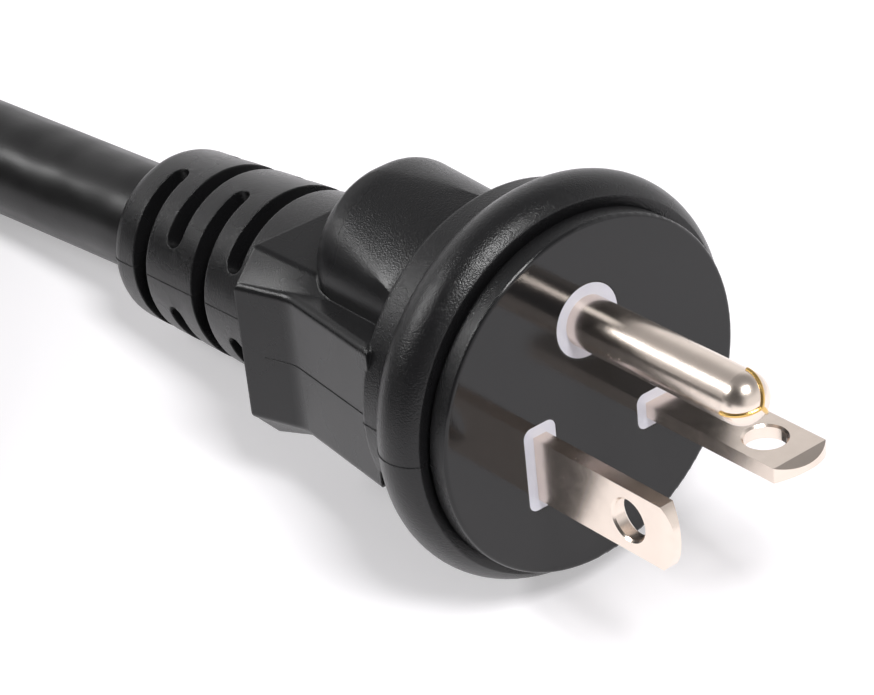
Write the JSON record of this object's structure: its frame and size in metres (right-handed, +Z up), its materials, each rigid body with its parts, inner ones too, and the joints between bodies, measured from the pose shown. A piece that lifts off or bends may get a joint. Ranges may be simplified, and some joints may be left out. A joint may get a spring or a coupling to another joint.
{
  "type": "power cord",
  "caption": "Moulded straight-blade plug with a ring flange, grip hump and slotted strain relief on a round black power cord, coiled and ending in an appliance connector.",
  "frame": {"origin": "on the floor, under the middle of the plug with its pins", "axes": "+Z up; the pins point towards -Y, nose a little down, and the cord leaves towards +Y"},
  "size_m": [0.1996, 0.2485, 0.038],
  "materials": {
    "overmould_black": "fine spark-eroded grain, satin",
    "carrier_white": "smooth, slightly translucent",
    "nickel": "nickel plated, finely brushed",
    "jacket_black": "smooth satin",
    "strap_black": "woven hook-and-loop",
    "contact_brass": "stamped, bright",
    "copper": "bare stranded copper",
    "wire_black": "smooth",
    "wire_white": "smooth",
    "wire_green": "smooth"
  },
  "bodies": {
    "root": {"plug_body": "overmould_black", "pin_bridge": "carrier_white", "line_blade_vertical": "nickel", "line_blade_horizontal": "nickel", "ground_pin": "nickel", "line_1_core": "wire_black", "line_2_core": "wire_white", "ground_core": "wire_green", "line_1_strands": "copper", "line_2_strands": "copper", "ground_strands": "copper", "cord_lead": "jacket_black", "cord_coil": "jacket_black", "coil_strap": "strap_black", "cord_tail": "jacket_black", "connector_body": "overmould_black", "connector_insert": "overmould_black", "contact_1": "contact_brass", "contact_2": "contact_brass", "contact_3": "contact_brass", "far_line_1_core": "wire_black", "far_line_2_core": "wire_white", "far_ground_core": "wire_green", "far_line_1_strands": "copper", "far_line_2_strands": "copper", "far_ground_strands": "copper"}
  },
  "joints": []
}
